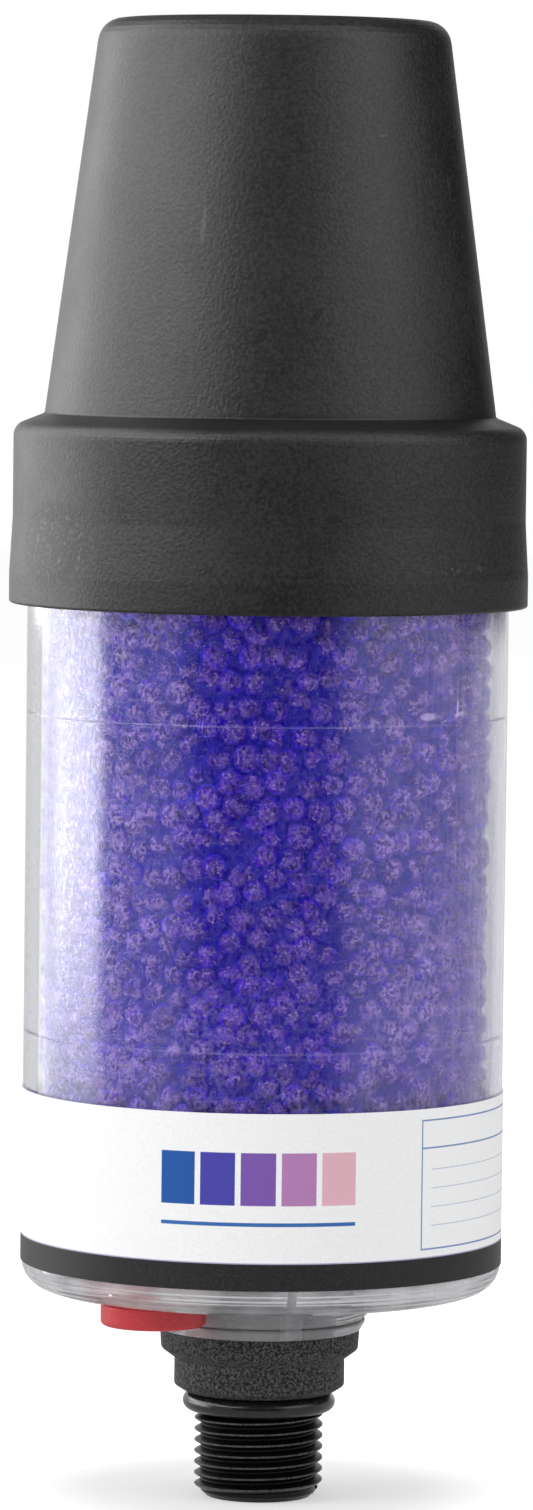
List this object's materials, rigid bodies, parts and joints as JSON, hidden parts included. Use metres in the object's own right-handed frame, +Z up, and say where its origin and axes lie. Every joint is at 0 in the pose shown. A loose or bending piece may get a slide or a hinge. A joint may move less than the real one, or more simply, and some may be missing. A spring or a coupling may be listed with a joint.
{
  "type": "silica gel breather",
  "caption": "Desiccant breather with a clear canister of beads, a tapered cap, a printed wrap, valved vents in the floor and a male threaded foot.",
  "frame": {"origin": "on the axis at the upper end of the foot's thread, just under the port seal", "axes": "+Z up along the axis towards the cap, -Z out of the threaded foot, -Y to the front of the picture, +X to its right"},
  "size_m": [0.0842, 0.0842, 0.2402],
  "materials": {
    "cap_plastic": "fine moulded grain",
    "clear_plastic": "clear moulding",
    "label_film": "white film with a black stripe",
    "gel_beads": "blue-violet beads",
    "foot_nylon": "coarse matt moulding",
    "seal_rubber": "smooth",
    "bladder_rubber": "soft matt",
    "valve_silicone": "soft satin",
    "vent_cap_plastic": "satin red",
    "pipe_plastic": "smooth",
    "inner_plastic": "matt",
    "filter_felt": "white felt",
    "foam": "open-cell foam",
    "clamp_steel": "brushed"
  },
  "bodies": {
    "breather": {"threaded_adapter": "foot_nylon", "port_o_ring": "seal_rubber", "neck_o_ring": "seal_rubber", "canister": "clear_plastic", "label": "label_film", "standpipe": "pipe_plastic", "lower_grid": "inner_plastic", "foam_pad": "foam", "lower_filter": "filter_felt", "desiccant_bed": "gel_beads", "upper_filter": "filter_felt", "upper_grid": "inner_plastic", "rim_gasket": "seal_rubber", "bulkhead": "inner_plastic", "bladder": "bladder_rubber", "bladder_clamp": "clamp_steel", "top_cap": "cap_plastic"},
    "intake_poppet": {"intake_valve": "valve_silicone"},
    "outlet_poppet": {"outlet_valve": "valve_silicone"},
    "intake_plug": {"intake_vent_cap": "vent_cap_plastic"},
    "outlet_plug": {"outlet_vent_cap": "vent_cap_plastic"}
  },
  "joints": [
    {"name": "intake_cap_pull", "type": "slide", "parent": "breather", "child": "intake_plug", "axis": [0, 0, -1], "range_m": [0, 0.025]},
    {"name": "outlet_cap_pull", "type": "slide", "parent": "breather", "child": "outlet_plug", "axis": [0, 0, -1], "range_m": [0, 0.025]},
    {"name": "intake_valve_lift", "type": "slide", "parent": "breather", "child": "intake_poppet", "axis": [0, 0, 1], "range_m": [0, 0.001], "stiffness_N_per_m": 60},
    {"name": "outlet_valve_lift", "type": "slide", "parent": "breather", "child": "outlet_poppet", "axis": [0, 0, -1], "range_m": [0, 0.001], "stiffness_N_per_m": 60}
  ]
}
